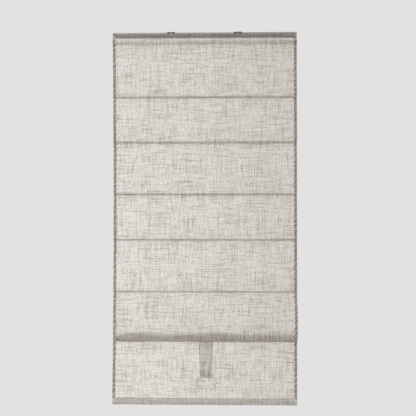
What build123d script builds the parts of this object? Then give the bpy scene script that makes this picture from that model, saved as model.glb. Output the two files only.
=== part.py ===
from build123d import *
import os
from math import acos, cos, pi, radians, sin, sqrt, tan

# Cordless roman shade, lowered. Millimetres. The middle of the four screw holes on top of the two
# brackets is the origin, Z is up and the cloth faces -Y.

# Fits
fit_gap = 0.3            # between pieces that stand beside each other
shaft_gap = 0.06         # between a wheel and its post, on the radius

# Cloth and its folds
shade_width = 787.0
cloth = 0.8              # thickness of one layer
side_hem_width = 12.0
hem_layer_count = 3
first_panel = 255.0      # rail to first seam
last_panel = 259.0       # last rib to the bottom hem
short_panel = 193.0
long_panel = 221.0
belly = 7.0              # how far a panel swells in front of its seams
puff = 14.0              # small roll where the cloth leaves the rail
puff_tail = 34.0         # height over which that roll flattens out
fold_belly = 36.0        # swell of the loose fold above the last rib
fold_drop = 17.0         # how far that fold hangs below the last rib
fold_roll = 10.0         # radius of its lower edge
fold_return = 3.5        # from the fold's back to the last panel
puff_rest_share = 0.125  # part of the roll's depth that stays below it
fold_height_share = 0.22  # height of the fold's widest place, as a part of its panel

# Headrail
rail_depth = 50.0
rail_height = 26.0
rail_wall = 1.2
rail_flange = 2.5        # turned out at the top, front and back
cloth_top_drop = 4.4     # from the rail's top to the cloth's top edge
strip_thickness = 1.0    # hook strip and loop strip, each
strip_height = 12.0
strip_lift = 1.5         # from the rail's underside to the strips
end_plate = 2.5          # end cap, outside the channel
end_plug = 10.0          # end cap, inside the channel
plug_wall = 1.5

# Brackets
bracket_sheet = 1.5
bracket_width = 32.0
bracket_spacing = 286.0
hook_width = 11.0
latch_width = 14.0
hook_return = 1.8        # how far the hooks turn in below the rail's flange
screw_radius = 2.4
screw_spacing = 28.0

# Ribs
rod_radius = 2.0
rod_sides = 12           # flats along each rod and its sleeve
rod_inset = 6.0          # rod's end behind the cloth's side edge
sleeve_wall = 0.6
sleeve_neck = 0.8        # thickness of the sewn edge that joins the sleeve to the cloth
rod_setback = 4.5        # rod's middle behind the cloth's back

# Lift cords and eyelets
cord_radius = 0.7
braid_sides = 6
quarter_turn = 90.0      # degrees
cord_offset = 245.0      # each cord from the middle of the shade
eyelet_width = 8.0
eyelet_wall = 2.0
eyelet_height = 3.0
eyelet_corner = 1.5

# Bottom rail
hem_height = 29.0
bar_height = 24.0
bar_thickness = 4.0
bar_inset = 10.0         # bar's end behind the cloth's side edge
bar_cap_length = 9.0
bar_cap_corner = 1.0
anchor_width = 10.0
anchor_height = 6.0
anchor_drop = 9.0        # from the hem's top to the anchor's middle
anchor_plate = 1.4
anchor_nose = 4.0        # beyond the cord
knot_radius = 2.0

# Pull strap and handle
strap_top_width = 66.0
strap_end_width = 48.0
strap_thickness = 1.2
strap_drop = 167.0       # last rib to the handle's top bar
strap_overlap = 2.5      # strap above the last rib's middle
handle_bar = 5.0         # width and thickness of the moulded ring
handle_edge = 1.4        # chamfer along the ring
handle_top = 58.0        # straight top bar
handle_width = 88.0      # across the widest place, bar middle to bar middle
handle_base = 60.0
handle_height = 48.0
handle_shoulder = 20.0   # widest place below the top bar
handle_corner = 9.0

# Spring motor
wheel_pitch = 18.0       # pitch radius of all four gears
teeth = 18
tooth_above = 1.4
tooth_below = 1.9
tooth_backlash = 0.6
tooth_slope = 24.0       # degrees
half_share = 0.5         # neighbouring gears are half a tooth apart
gear_width = 3.0
post_radius = 3.0
spool_radius = 11.0
drive_hub = 9.0
storage_hub = 7.0
drive_coil = 14.0        # outside of the spring on the drive drum, shade lowered
storage_coil = 10.0
spring_band = 8.0
spring_sheet = 0.4
base_plate = 1.5
base_wall = 1.2
base_side_gap = 0.6
base_end = 22.0          # base beyond the outer wheels' middles
cover_plate = 1.5
motor_height = 17.4      # base's underside to the cover's top
cord_bend = 6.0          # radius where each cord turns down
guide_width = 12.0
guide_foot = 6.0         # guide's body beside the cord's bend
guide_nozzle = 3.6
guide_nozzle_drop = 2.4
guide_roof = 3.0         # guide's body above the cord
guide_clear = 0.7        # round the cord

# Levels and planes that follow from the sizes
rail_top = -bracket_sheet - fit_gap
rail_bottom = rail_top - rail_height
rail_floor = rail_bottom + rail_wall
cloth_top = rail_top - cloth_top_drop
panel_drops = [first_panel, short_panel, long_panel, short_panel, long_panel, short_panel, last_panel]
seam_levels = [rail_bottom - sum(panel_drops[: count + 1]) for count in range(len(panel_drops))]
hem_top = seam_levels.pop()
last_rib = seam_levels[-1]
half_width = shade_width / 2
cloth_back = -rail_depth / 2 - 2 * strip_thickness
cloth_front = cloth_back - cloth
rod_y = cloth_back + rod_setback
sleeve_bore = rod_radius + fit_gap
sleeve_radius = sleeve_bore + sleeve_wall
hem_bottom = hem_top - hem_height
bar_front = cloth_back + fit_gap
bar_bottom = hem_bottom + cloth + fit_gap
hem_back = bar_front + bar_thickness + fit_gap + cloth
anchor_level = hem_top - anchor_drop
strap_front = rod_y + sleeve_radius + fit_gap
loop_bore = sqrt((handle_bar / 2) ** 2 + (handle_bar / 2 - handle_edge) ** 2) + fit_gap
loop_radius = loop_bore + strap_thickness
handle_y = strap_front + loop_radius
handle_level = last_rib - strap_drop
cord_level = rail_floor + motor_height / 2 + 2 * fit_gap
wheel_bottom = rail_floor + base_plate + fit_gap
motor_top = rail_floor + motor_height
wheel_top = motor_top - cover_plate - fit_gap
gear_top = wheel_bottom + gear_width
wheel_middles = [-3 * wheel_pitch, -wheel_pitch, wheel_pitch, 3 * wheel_pitch]
spool_middles = [wheel_middles[0], wheel_middles[-1]]
cord_y = -spool_radius - fit_gap - cord_radius
cord_way = 2 * (cord_radius + guide_clear)
cord_drop = cord_level - cord_bend - anchor_level + anchor_height / 2 + fit_gap

os.makedirs("parts", exist_ok=True)


def save(piece, name):
    """Name a finished piece and write it to its own file."""
    piece.label = name
    export_step(piece, f"parts/{name}.step")


def cloth_path():
    """Front face of the cloth from its top edge to the bottom hem, drawn in the YZ plane."""
    Line((cloth_front, cloth_top), (cloth_front, rail_bottom))
    # Small roll under the rail, then a gentle way back to the plane of the seams
    puff_out = (cloth_front - puff, rail_bottom - puff)
    puff_mean = (1 + puff_rest_share) / 2
    puff_mid = (cloth_front - puff * puff_mean, puff_out[1] - puff_tail / 2)
    puff_end = (cloth_front - puff * puff_rest_share, puff_out[1] - puff_tail)
    TangentArc(puff_out, (cloth_front, rail_bottom), tangent=(0, 1))
    TangentArc(puff_out, puff_mid, tangent=(0, -1))
    TangentArc(puff_end, puff_mid, tangent=(0, 1))
    first_lip = (cloth_front - belly, seam_levels[0] + belly)
    first_swell = TangentArc(puff_end, first_lip, tangent=(0, -1))
    TangentArc(first_lip, (cloth_front, seam_levels[0]), tangent=first_swell % 1)
    # Panels between seams swell forward and turn in sharply at their lower seam
    for upper, lower in zip(seam_levels[:-2], seam_levels[1:-1]):
        lip = (cloth_front - belly, lower + belly)
        TangentArc(lip, (cloth_front, upper), tangent=(0, 1))
        TangentArc(lip, (cloth_front, lower), tangent=(0, -1))
    # Loose fold: two large arcs, a small roll, and a short way up in front of the last panel
    wide = (cloth_front - fold_belly, last_rib + fold_height_share * short_panel)
    rise_y = cloth_front - fold_return
    roll_y = rise_y - fold_roll
    roll_level = last_rib - fold_drop + fold_roll
    across = wide[0] - roll_y
    rise = wide[1] - roll_level
    turn = (fold_roll**2 - across**2 - rise**2) / (2 * (across + fold_roll))
    reach = turn / (turn - fold_roll)
    turn_y = wide[0] + turn
    roll_start = (turn_y + (roll_y - turn_y) * reach, wide[1] + (roll_level - wide[1]) * reach)
    TangentArc(wide, (cloth_front, seam_levels[-2]), tangent=(0, 1))
    TangentArc(wide, roll_start, tangent=(0, -1))
    ThreePointArc(roll_start, (roll_y, roll_level - fold_roll), (rise_y, roll_level))
    TangentArc((rise_y, roll_level), (cloth_front, last_rib), tangent=(0, 1))
    Line((cloth_front, last_rib), (cloth_front, hem_top + fit_gap))


def cord_path(side):
    """Middle of one lift cord from its spool over the bend and down, in the plane of the cords."""
    bend_start = (side * (cord_offset - cord_bend), cord_level)
    bend_end = (side * cord_offset, cord_level - cord_bend)
    Line((side * wheel_middles[-1], cord_level), bend_start)
    TangentArc(bend_start, bend_end, tangent=(side, 0))
    Line(bend_end, (bend_end[0], bend_end[1] - cord_drop))


def gear_face(phase_share):
    """Gear outline with straight-sided teeth, turned by the given share of one tooth's pitch."""
    slope = tan(radians(tooth_slope))
    half_pitch_tooth = pi * wheel_pitch / (2 * teeth) - tooth_backlash / 2
    tip = half_pitch_tooth - tooth_above * slope
    root = half_pitch_tooth + tooth_below * slope
    tooth = [(-tooth_below, -root), (tooth_above, -tip), (tooth_above, tip), (-tooth_below, root)]
    outline = []
    for count in range(teeth):
        angle = 2 * pi * (count + phase_share) / teeth
        for out, across in tooth:
            reach = wheel_pitch + out
            point_x = reach * cos(angle) - across * sin(angle)
            point_y = reach * sin(angle) + across * cos(angle)
            outline.append((point_x, point_y))
    Polygon(*outline, align=None)


# Cloth: one sheet, doubled over along both sides
with BuildPart() as shade_fabric:
    with BuildSketch(Plane.YZ) as sheet_section:
        with BuildLine() as sheet_line:
            cloth_path()
            offset(amount=cloth, side=Side.LEFT)
        make_face()
    extrude(amount=half_width, both=True)
    hem_planes = [Plane.YZ.offset(-half_width), Plane.YZ.offset(half_width - side_hem_width)]
    with BuildSketch(*hem_planes) as hem_section:
        with BuildLine() as hem_line:
            cloth_path()
            offset(amount=cloth * hem_layer_count, side=Side.LEFT)
        make_face()
    extrude(amount=side_hem_width)
save(shade_fabric.part, "shade_fabric")

# Headrail: channel with turned-out flanges and a hole for each cord guide
with BuildPart() as headrail_channel:
    with BuildSketch(Plane.YZ) as rail_section:
        with Locations((0, (rail_top + rail_bottom) / 2)):
            Rectangle(rail_depth, rail_height)
        with Locations((0, rail_top - rail_wall / 2)):
            Rectangle(rail_depth + 2 * rail_flange, rail_wall)
        with Locations((0, (rail_top + rail_floor) / 2)):
            Rectangle(rail_depth - 2 * rail_wall, rail_top - rail_floor, mode=Mode.SUBTRACT)
    extrude(amount=half_width - end_plate, both=True)
    with BuildSketch(Plane.XY.offset(rail_bottom)) as guide_holes:
        with Locations((-cord_offset, cord_y), (cord_offset, cord_y)):
            Circle(guide_nozzle + fit_gap)
    extrude(amount=rail_wall, mode=Mode.SUBTRACT)
save(headrail_channel.part, "headrail_channel")

for side, side_name in [(-1, "left"), (1, "right")]:
    with BuildPart() as end_cap:
        with BuildSketch(Plane.YZ.offset(side * half_width)) as cap_face:
            with Locations((0, (rail_top + rail_bottom) / 2)):
                Rectangle(rail_depth, rail_height)
            fillet(cap_face.vertices().sort_by(Axis.Y)[:2], rail_flange)
            with Locations((0, rail_top - rail_wall / 2)):
                Rectangle(rail_depth + 2 * rail_flange, rail_wall)
        extrude(amount=-side * end_plate)
        with BuildSketch(Plane.YZ.offset(side * (half_width - end_plate))) as plug_face:
            plug_depth = rail_depth - 2 * (rail_wall + fit_gap)
            plug_height = rail_top - rail_floor - 2 * fit_gap
            with Locations((0, (rail_top + rail_floor) / 2)):
                Rectangle(plug_depth, plug_height)
                Rectangle(plug_depth - 2 * plug_wall, plug_height - 2 * plug_wall, mode=Mode.SUBTRACT)
        extrude(amount=-side * end_plug)
    save(end_cap.part, f"end_cap_{side_name}")

# Hook strip on the rail and loop strip on the cloth
strip_level = rail_bottom + strip_lift + strip_height / 2
for count, strip_name in [(0, "hook_strip"), (1, "loop_strip")]:
    with BuildPart() as strip:
        with Locations((0, -rail_depth / 2 - strip_thickness * (2 * count + 1) / 2, strip_level)):
            Box(shade_width - 2 * (side_hem_width + fit_gap), strip_thickness, strip_height)
    save(strip.part, strip_name)

# Brackets: a bent plate, two hooks at the front, one latch at the back, two screw holes
hook_reach = rail_depth / 2 + rail_flange + fit_gap
hook_bottom = rail_top - rail_wall - fit_gap - bracket_sheet
for side, side_name in [(-1, "left"), (1, "right")]:
    bracket_middle = side * bracket_spacing / 2
    hook_shift = (bracket_width - hook_width) / 2
    with BuildPart() as bracket:
        with BuildSketch(Plane.XY) as plate_face:
            with Locations((bracket_middle, 0)):
                Rectangle(bracket_width, 2 * hook_reach + 2 * bracket_sheet)
        extrude(amount=-bracket_sheet)
        hook_rows = [(bracket_middle + turn * hook_shift, -1, hook_width) for turn in (-1, 1)]
        hook_rows.append((bracket_middle, 1, latch_width))
        for middle, face, width in hook_rows:
            with BuildSketch(Plane.YZ.offset(middle)) as hook_section:
                with Locations((face * (hook_reach + bracket_sheet / 2), hook_bottom / 2)):
                    Rectangle(bracket_sheet, -hook_bottom)
                with Locations((face * (hook_reach - hook_return / 2), hook_bottom + bracket_sheet / 2)):
                    Rectangle(hook_return + bracket_sheet, bracket_sheet)
            extrude(amount=width / 2, both=True)
        with BuildSketch(Plane.XY) as screw_holes:
            with Locations((bracket_middle, -screw_spacing / 2), (bracket_middle, screw_spacing / 2)):
                Circle(screw_radius)
        extrude(amount=-bracket_sheet, mode=Mode.SUBTRACT)
    save(bracket.part, f"bracket_{side_name}")

# Ribs: rod, sewn sleeve and cord eyelets, behind every seam and behind the loose fold
rod_half = half_width - rod_inset
sleeve_half = half_width - side_hem_width - fit_gap
eyelet_front = rod_y + sleeve_radius + fit_gap
eyelet_back = cord_y + eyelet_width / 2
eyelet_middle = (eyelet_front + eyelet_back) / 2
eyelet_hole = eyelet_width - 2 * eyelet_wall
for number, level in enumerate(seam_levels, start=1):
    with BuildPart() as rib_rod:
        with BuildSketch(Plane.YZ) as rod_section:
            with Locations((rod_y, level)):
                RegularPolygon(rod_radius, rod_sides)
        extrude(amount=rod_half, both=True)
    save(rib_rod.part, f"rib_rod_{number}")

    with BuildPart() as rib_sleeve:
        with BuildSketch(Plane.YZ) as sleeve_section:
            neck = rod_setback - fit_gap
            with Locations((rod_y - neck / 2, level)):
                Rectangle(neck, sleeve_neck)
            with Locations((rod_y, level)):
                RegularPolygon(sleeve_radius, rod_sides)
                RegularPolygon(sleeve_bore, rod_sides, mode=Mode.SUBTRACT)
        extrude(amount=sleeve_half, both=True)
    save(rib_sleeve.part, f"rib_sleeve_{number}")

    with BuildPart() as rib_eyelets:
        with BuildSketch(Plane.XY.offset(level - eyelet_height / 2)) as eyelet_face:
            with Locations((-cord_offset, eyelet_middle), (cord_offset, eyelet_middle)):
                Rectangle(eyelet_width, eyelet_back - eyelet_front)
            chamfer(eyelet_face.vertices(), eyelet_corner)
            with Locations((-cord_offset, cord_y), (cord_offset, cord_y)):
                Rectangle(eyelet_hole, eyelet_hole, mode=Mode.SUBTRACT)
        extrude(amount=eyelet_height)
    save(rib_eyelets.part, f"rib_eyelets_{number}")

# Bottom rail: folded hem, weight bar, bar caps and cord anchors
anchor_half = anchor_height / 2
with BuildPart() as bottom_hem:
    with BuildSketch(Plane.YZ) as hem_tube:
        hem_depth = hem_back - cloth_front
        with Locations(((cloth_front + hem_back) / 2, (hem_top + hem_bottom) / 2)):
            Rectangle(hem_depth, hem_height)
            Rectangle(hem_depth - 2 * cloth, hem_height - 2 * cloth, mode=Mode.SUBTRACT)
    extrude(amount=half_width, both=True)
    with Locations((-cord_offset, hem_back, anchor_level), (cord_offset, hem_back, anchor_level)):
        slot_width = anchor_width + 2 * fit_gap
        slot_height = anchor_height + 2 * fit_gap
        Box(slot_width, 2 * cloth + fit_gap, slot_height, mode=Mode.SUBTRACT)
save(bottom_hem.part, "bottom_hem")

bar_middle = (bar_front + bar_thickness / 2, bar_bottom + bar_height / 2)
bar_half = half_width - bar_inset
with BuildPart() as bottom_bar:
    with BuildSketch(Plane.YZ) as bar_section:
        with Locations(bar_middle):
            Rectangle(bar_thickness, bar_height)
    extrude(amount=bar_half, both=True)
save(bottom_bar.part, "bottom_bar")

with BuildPart() as bar_caps:
    for side in (-1, 1):
        with BuildSketch(Plane.YZ.offset(side * (bar_half + fit_gap))) as bar_cap_face:
            with Locations(bar_middle):
                Rectangle(bar_thickness, bar_height)
            chamfer(bar_cap_face.vertices(), bar_cap_corner)
        extrude(amount=side * bar_cap_length)
save(bar_caps.part, "bar_caps")

with BuildPart() as cord_anchors:
    for side in (-1, 1):
        stem_front = bar_front + bar_thickness + shaft_gap
        nose_back = cord_y + anchor_nose
        with Locations((side * cord_offset, (stem_front + nose_back) / 2, anchor_level)):
            Box(anchor_width, nose_back - stem_front, anchor_height)
        plate_y = hem_back + fit_gap + anchor_plate / 2
        with Locations((side * cord_offset, plate_y, anchor_level)):
            Box(2 * anchor_width, anchor_plate, 2 * anchor_height)
        slot_front = cord_y - cord_radius - fit_gap
        with Locations((side * cord_offset, (slot_front + nose_back) / 2, anchor_level)):
            Box(2 * (cord_radius + fit_gap), nose_back - slot_front, anchor_height, mode=Mode.SUBTRACT)
save(cord_anchors.part, "cord_anchors")

# Pull strap: tapered webbing with a loop round the handle's top bar
with BuildPart() as pull_strap:
    with BuildSketch(Plane.XZ.offset(-strap_front)) as strap_face:
        strap_top = last_rib + strap_overlap
        Polygon((-strap_top_width / 2, strap_top), (strap_top_width / 2, strap_top),
                (strap_end_width / 2, handle_level), (-strap_end_width / 2, handle_level), align=None)
    extrude(amount=-strap_thickness)
    with BuildSketch(Plane.YZ) as loop_section:
        with Locations((handle_y, handle_level)):
            Circle(loop_radius)
    extrude(amount=strap_end_width / 2, both=True)
    with BuildSketch(Plane.YZ) as loop_hole:
        with Locations((handle_y, handle_level)):
            Circle(loop_bore)
    extrude(amount=strap_end_width, both=True, mode=Mode.SUBTRACT)
save(pull_strap.part, "pull_strap")

# Pull handle: one moulded ring with chamfered edges
with BuildPart() as pull_handle:
    with BuildSketch(Plane.XZ.offset(-handle_y)) as handle_face:
        with BuildLine() as handle_line:
            handle_points = [(-handle_top / 2, handle_level), (handle_top / 2, handle_level),
                             (handle_width / 2, handle_level - handle_shoulder),
                             (handle_base / 2, handle_level - handle_height),
                             (-handle_base / 2, handle_level - handle_height),
                             (-handle_width / 2, handle_level - handle_shoulder)]
            FilletPolyline(*handle_points, radius=handle_corner, close=True)
        middle_face = make_face()
        offset(amount=handle_bar / 2)
        offset(middle_face, amount=-handle_bar / 2, mode=Mode.SUBTRACT)
    extrude(amount=handle_bar / 2, both=True)
    broad_faces = pull_handle.faces().sort_by(Axis.Y)
    chamfer(broad_faces[0].edges() + broad_faces[-1].edges(), handle_edge)
save(pull_handle.part, "pull_handle")

# Spring motor
base_half = wheel_middles[-1] + base_end
base_depth = rail_depth - 2 * rail_wall - 2 * base_side_gap
with BuildPart() as motor_base:
    with BuildSketch(Plane.XY.offset(rail_floor)) as base_face:
        Rectangle(2 * base_half, base_depth)
    extrude(amount=base_plate)
    with BuildSketch(Plane.XY.offset(rail_floor + base_plate)) as base_rim:
        Rectangle(2 * base_half, base_depth)
        Rectangle(2 * (base_half - base_wall), base_depth - 2 * base_wall, mode=Mode.SUBTRACT)
    extrude(amount=motor_height - base_plate - cover_plate)
    with BuildSketch(Plane.XY.offset(rail_floor)) as posts:
        with Locations(*[(middle, 0) for middle in wheel_middles]):
            Circle(post_radius)
    extrude(amount=wheel_top - rail_floor)
    with BuildSketch(Plane.XY.offset(cord_level - cord_way / 2)) as cord_slots:
        with Locations((-base_half, cord_y), (base_half, cord_y)):
            Rectangle(4 * base_wall, cord_way)
    extrude(amount=motor_height, mode=Mode.SUBTRACT)
save(motor_base.part, "motor_base")

with BuildPart() as motor_cover:
    with BuildSketch(Plane.XY.offset(motor_top - cover_plate)) as cover_face:
        Rectangle(2 * base_half, base_depth)
    extrude(amount=cover_plate)
save(motor_cover.part, "motor_cover")

for middle, phase_share, side_name in zip(spool_middles, (0, half_share), ("left", "right")):
    with BuildPart() as cord_spool:
        with BuildSketch(Plane.XY.offset(wheel_bottom).move(Location((middle, 0, 0)))) as spool_gear:
            gear_face(phase_share)
        extrude(amount=gear_width)
        with BuildSketch(Plane.XY.offset(gear_top).move(Location((middle, 0, 0)))) as spool_drum:
            Circle(spool_radius)
        extrude(amount=wheel_top - gear_top)
        with BuildSketch(Plane.XY.offset(wheel_bottom).move(Location((middle, 0, 0)))) as spool_bore:
            Circle(post_radius + shaft_gap)
        extrude(amount=wheel_top - wheel_bottom, mode=Mode.SUBTRACT)
    save(cord_spool.part, f"cord_spool_{side_name}")

idler_middle = wheel_middles[1]
with BuildPart() as idler_gear:
    with BuildSketch(Plane.XY.offset(wheel_bottom).move(Location((idler_middle, 0, 0)))) as idler_face:
        gear_face(half_share)
        Circle(post_radius + shaft_gap, mode=Mode.SUBTRACT)
    extrude(amount=gear_width)
save(idler_gear.part, "idler_gear")

storage_bottom = gear_top + fit_gap
with BuildPart() as storage_drum:
    with BuildSketch(Plane.XY.offset(storage_bottom).move(Location((idler_middle, 0, 0)))) as storage_face:
        Circle(storage_hub)
        Circle(post_radius + shaft_gap, mode=Mode.SUBTRACT)
    extrude(amount=wheel_top - storage_bottom)
save(storage_drum.part, "storage_drum")

drive_middle = wheel_middles[2]
with BuildPart() as drive_drum:
    with BuildSketch(Plane.XY.offset(wheel_bottom).move(Location((drive_middle, 0, 0)))) as drive_face:
        gear_face(0)
    extrude(amount=gear_width)
    with BuildSketch(Plane.XY.offset(gear_top).move(Location((drive_middle, 0, 0)))) as drive_hub_face:
        Circle(drive_hub)
    extrude(amount=wheel_top - gear_top)
    with BuildSketch(Plane.XY.offset(wheel_bottom).move(Location((drive_middle, 0, 0)))) as drive_bore:
        Circle(post_radius + shaft_gap)
    extrude(amount=wheel_top - wheel_bottom, mode=Mode.SUBTRACT)
save(drive_drum.part, "drive_drum")

# Flat spring: coiled on both drums, with the band crossing from one coil to the other
spring_bottom = (gear_top + wheel_top - spring_band) / 2
cross_angle = acos((drive_coil + storage_coil - spring_sheet) / (drive_middle - idler_middle))
drive_run = drive_coil - spring_sheet / 2
storage_run = storage_coil - spring_sheet / 2
with BuildPart() as drive_spring:
    with BuildSketch(Plane.XY.offset(spring_bottom)) as spring_face:
        with BuildLine() as spring_line:
            Line((drive_middle - drive_run * cos(cross_angle), drive_run * sin(cross_angle)),
                 (idler_middle + storage_run * cos(cross_angle), -storage_run * sin(cross_angle)))
        trace(line_width=spring_sheet)
        with Locations((drive_middle, 0)):
            Circle(drive_coil)
            Circle(drive_hub + fit_gap, mode=Mode.SUBTRACT)
        with Locations((idler_middle, 0)):
            Circle(storage_coil)
            Circle(storage_hub + fit_gap, mode=Mode.SUBTRACT)
    extrude(amount=spring_band)
save(drive_spring.part, "drive_spring")

# Cord guides in the rail's floor, and the lift cords
cord_plane = Plane.XZ.offset(-cord_y)
for side, side_name in [(-1, "left"), (1, "right")]:
    with BuildPart() as cord_guide:
        guide_length = cord_bend + 2 * guide_foot
        guide_top = cord_level + cord_radius + guide_roof
        with BuildSketch(Plane.XY.offset(rail_floor)) as guide_face:
            with Locations((side * (cord_offset - cord_bend / 2), cord_y)):
                Rectangle(guide_length, guide_width)
        extrude(amount=guide_top - rail_floor)
        with BuildSketch(Plane.XY.offset(rail_floor)) as nozzle_face:
            with Locations((side * cord_offset, cord_y)):
                Circle(guide_nozzle)
        extrude(amount=-rail_wall - guide_nozzle_drop)
        with BuildSketch(cord_plane) as tunnel_face:
            with BuildLine() as tunnel_line:
                cord_path(side)
            trace(line_width=cord_way)
        extrude(amount=cord_way / 2, both=True, mode=Mode.SUBTRACT)
    save(cord_guide.part, f"cord_guide_{side_name}")

    # A six-sided section stands for the braid
    with BuildPart() as lift_cord:
        bend_x = side * (cord_offset - cord_bend)
        with BuildSketch(Plane.YZ.offset(bend_x)) as cord_section:
            with Locations((cord_y, cord_level)):
                RegularPolygon(cord_radius, braid_sides)
        extrude(amount=side * wheel_middles[-1] - bend_x)
        bend_axis = Axis((bend_x, cord_y, cord_level - cord_bend), (0, side, 0))
        revolve(cord_section.sketch, axis=bend_axis, revolution_arc=quarter_turn)
        with BuildSketch(Plane.XY.offset(cord_level - cord_bend)) as drop_section:
            with Locations((side * cord_offset, cord_y)):
                RegularPolygon(cord_radius, braid_sides, rotation=quarter_turn)
        extrude(amount=-cord_drop)
        knot_top = anchor_level - anchor_half - fit_gap
        with BuildSketch(Plane.XY.offset(knot_top)) as knot_face:
            with Locations((side * cord_offset, cord_y)):
                RegularPolygon(knot_radius, braid_sides)
        extrude(amount=-2 * knot_radius)
    save(lift_cord.part, f"lift_cord_{side_name}")
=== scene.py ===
"""Dresses a cordless roman shade: linen on ribs, headrail, spring motor, lift cords and pull handle."""
import math

import bpy
import numpy as np
from bpy.props import FloatProperty, FloatVectorProperty, PointerProperty
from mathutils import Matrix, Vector


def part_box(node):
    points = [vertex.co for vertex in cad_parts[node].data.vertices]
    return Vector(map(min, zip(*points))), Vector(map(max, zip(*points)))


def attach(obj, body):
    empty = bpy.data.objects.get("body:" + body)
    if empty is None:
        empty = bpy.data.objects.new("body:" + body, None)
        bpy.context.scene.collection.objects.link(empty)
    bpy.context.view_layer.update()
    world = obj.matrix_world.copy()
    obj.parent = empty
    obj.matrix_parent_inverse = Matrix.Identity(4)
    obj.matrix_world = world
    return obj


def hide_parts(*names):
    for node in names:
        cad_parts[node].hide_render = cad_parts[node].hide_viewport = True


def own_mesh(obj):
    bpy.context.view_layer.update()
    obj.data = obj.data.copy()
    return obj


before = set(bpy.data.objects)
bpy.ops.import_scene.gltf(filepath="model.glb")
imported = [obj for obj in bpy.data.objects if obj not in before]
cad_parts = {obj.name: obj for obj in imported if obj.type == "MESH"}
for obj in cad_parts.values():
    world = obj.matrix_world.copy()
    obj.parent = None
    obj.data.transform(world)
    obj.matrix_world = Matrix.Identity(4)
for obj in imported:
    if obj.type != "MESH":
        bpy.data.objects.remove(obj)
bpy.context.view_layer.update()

bl_info = {
    "name": "Roman Shade",
    "version": (1, 0, 0),
    "blender": (4, 5, 0),
    "location": "View3D > Sidebar > Shade",
    "description": "Builds the cloth, hardware and stage of a cordless roman shade",
    "category": "Object",
}

WEAVE_MAP = "weave"
RIB_COUNT = 6
SIDES = ("left", "right")
RIBS = range(1, RIB_COUNT + 1)
FOLD = RIB_COUNT - 1  # panel of the loose fold

# Levels and planes read from the solids
CLOTH_LOW, CLOTH_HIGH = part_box("shade_fabric")
RAIL_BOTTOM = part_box("headrail_channel")[0].z
HEM_LOW, HEM_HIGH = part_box("bottom_hem")
CLOTH_FRONT = HEM_LOW.y
ROD_BOXES = [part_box(f"rib_rod_{rib}") for rib in RIBS]
ROD_LEVELS = [(low.z + high.z) / 2 for low, high in ROD_BOXES]
ROD_Y = (ROD_BOXES[0][0].y + ROD_BOXES[0][1].y) / 2
STRAP_LOW, STRAP_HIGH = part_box("pull_strap")
HANDLE_LOW, HANDLE_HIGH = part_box("pull_handle")
HANDLE_Y = (HANDLE_LOW.y + HANDLE_HIGH.y) / 2

# Slubs of the linen: noise counts per metre across and down, and the noise level where a slub starts
LONG_SLUBS = (((7.0, 270.0), 0.50), ((16.0, 380.0), 0.52), ((290.0, 8.0), 0.50), ((400.0, 18.0), 0.52))
SHORT_SLUBS = (((90.0, 330.0), 0.40), ((330.0, 90.0), 0.40))
SLUB_FULL = 0.68
LONG_SLUB_TONE, SHORT_SLUB_TONE, CLOUD_TONE = 0.42, 0.24, 0.04
# Turns per metre of the plain weave and of the slanting marks of painted shade on stacked layers, in radians
WEAVE_TURN, HATCH_TURN = 7000.0, 285.0
HATCH_RAGGED, HATCH_RANGE = 16.0, (-0.2, 0.8)
STITCH_PITCH, STITCH_GAP, STITCH_HALF_WIDTH, STITCH_INSET = 0.0032, -0.6, 0.0003, 0.002

EDGE, SOFT_EDGE = 0.0003, 0.0004  # rounding of bent and of moulded edges

# Name, place, size and power of each lamp
LAMPS = (
    ("front_lamp", (-2.4, -2.2, 0.1), 2.4, 46.0),
    ("back_lamp", (-1.2, 2.3, -1.2), 1.2, 56.0),
    ("sky_lamp", (-0.9, 1.6, 1.1), 1.4, 14.0),
)
LAMP_TINT = (0.955, 0.975, 1.0)
LAMP_AIM = Vector((0.0, 0.0, -0.8))


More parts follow.
